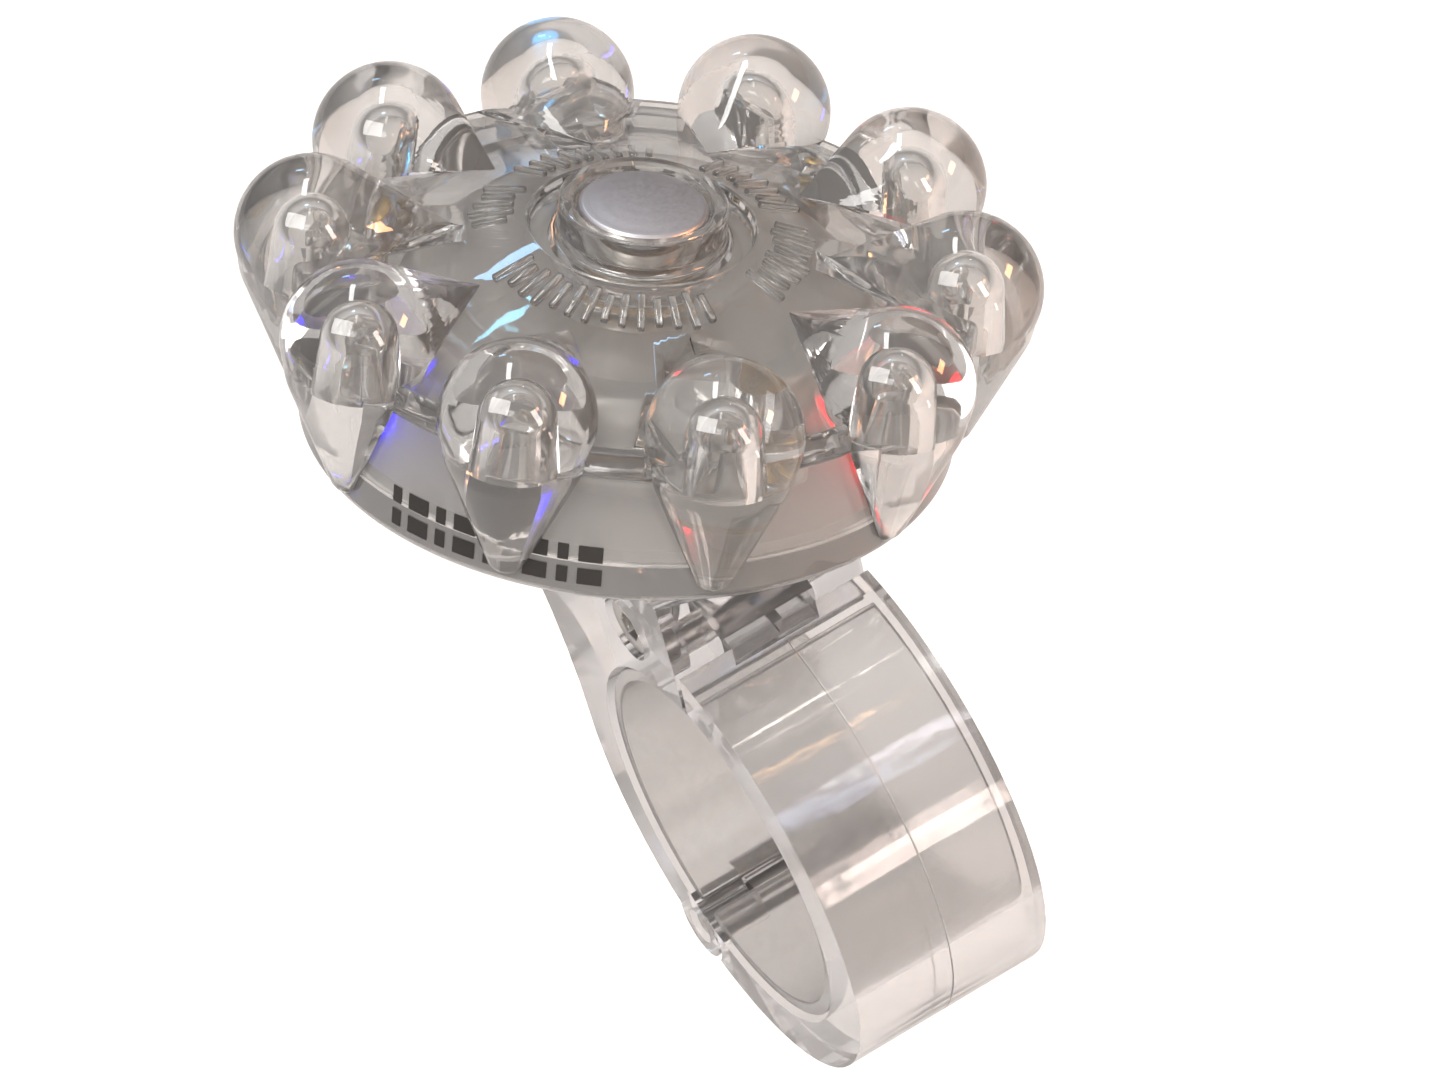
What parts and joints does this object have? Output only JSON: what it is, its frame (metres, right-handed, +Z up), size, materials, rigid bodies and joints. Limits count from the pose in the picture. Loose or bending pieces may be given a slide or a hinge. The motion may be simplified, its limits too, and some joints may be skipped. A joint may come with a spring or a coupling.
{
  "type": "light up twist bell for a handlebar",
  "caption": "Clear twist-top handlebar bell with a ring of ball domes on a rotating cap, a hinged clamp strap and a small light module in its drum.",
  "frame": {"origin": "centre of the handlebar that the clamp holds, halfway along the clamp's width", "axes": "+X along the handlebar towards the side the head leans to, +Y towards the head's far side, +Z up from the bar towards the head"},
  "size_m": [0.0472, 0.0568, 0.0565],
  "materials": {
    "clear_polycarbonate": "clear, glossy, faint grey-pink tint",
    "soft_liner": "soft translucent, satin",
    "satin_silver": "satin face with a polished rim",
    "gong_steel": "turned, bright",
    "stainless_steel": "machined",
    "cell_steel": "bright nickel plated",
    "brass": "machined",
    "bronze": "sintered",
    "white_nylon": "moulded",
    "tray_plastic": "moulded",
    "board_laminate": "white solder resist",
    "led_lens": "clear epoxy",
    "chip_black": "moulded epoxy"
  },
  "bodies": {
    "base": {"saddle": "clear_polycarbonate", "saddle_screw_1": "stainless_steel", "saddle_screw_2": "stainless_steel", "hinge_pin": "stainless_steel", "bar_liner_saddle": "soft_liner", "base_cup": "clear_polycarbonate", "spindle": "stainless_steel", "gong": "gong_steel", "gong_nut": "brass", "thrust_washer": "white_nylon", "centre_cap": "satin_silver", "cell_tray": "tray_plastic", "button_cell_1": "cell_steel", "button_cell_2": "cell_steel", "button_cell_3": "cell_steel", "cell_contact": "brass", "light_board": "board_laminate", "led_1": "led_lens", "led_2": "led_lens", "led_3": "led_lens", "motion_switch": "brass", "controller_chip": "chip_black"},
    "strap_door": {"strap": "clear_polycarbonate", "bar_liner_strap": "soft_liner"},
    "pinch_screw": {"clamp_screw": "stainless_steel"},
    "rotor": {"rotor_cap": "clear_polycarbonate", "rotor_bush": "bronze", "striker_pin_1": "brass", "striker_pin_2": "brass", "striker_pin_3": "brass"},
    "swinging_striker_1": {"striker_1": "stainless_steel"},
    "swinging_striker_2": {"striker_2": "stainless_steel"},
    "swinging_striker_3": {"striker_3": "stainless_steel"}
  },
  "joints": [
    {"name": "strap_hinge", "type": "hinge", "parent": "base", "child": "strap_door", "pos_m": [0, 0.00745, -0.0129], "axis": [1, 0, 0], "range_deg": [0, 100]},
    {"name": "clamp_screw_turn", "type": "hinge", "parent": "base", "child": "pinch_screw", "pos_m": [0, 0.00499, 0.01499], "axis": [1, 0, 0], "continuous": true},
    {"name": "cap_spin", "type": "hinge", "parent": "base", "child": "rotor", "pos_m": [0.0014, 0.0171, 0.01845], "axis": [0.3223, 0, 0.9466], "continuous": true},
    {"name": "striker_swing_1", "type": "hinge", "parent": "rotor", "child": "swinging_striker_1", "pos_m": [0.01638, 0.02305, 0.01336], "axis": [0.3223, 0, 0.9466], "range_deg": [-4, 24]},
    {"name": "striker_swing_2", "type": "hinge", "parent": "rotor", "child": "swinging_striker_2", "pos_m": [-0.01096, 0.02783, 0.02266], "axis": [0.3223, 0, 0.9466], "range_deg": [-4, 24]},
    {"name": "striker_swing_3", "type": "hinge", "parent": "rotor", "child": "swinging_striker_3", "pos_m": [-0.00121, 0.00043, 0.01934], "axis": [0.3223, 0, 0.9466], "range_deg": [-4, 24]}
  ]
}
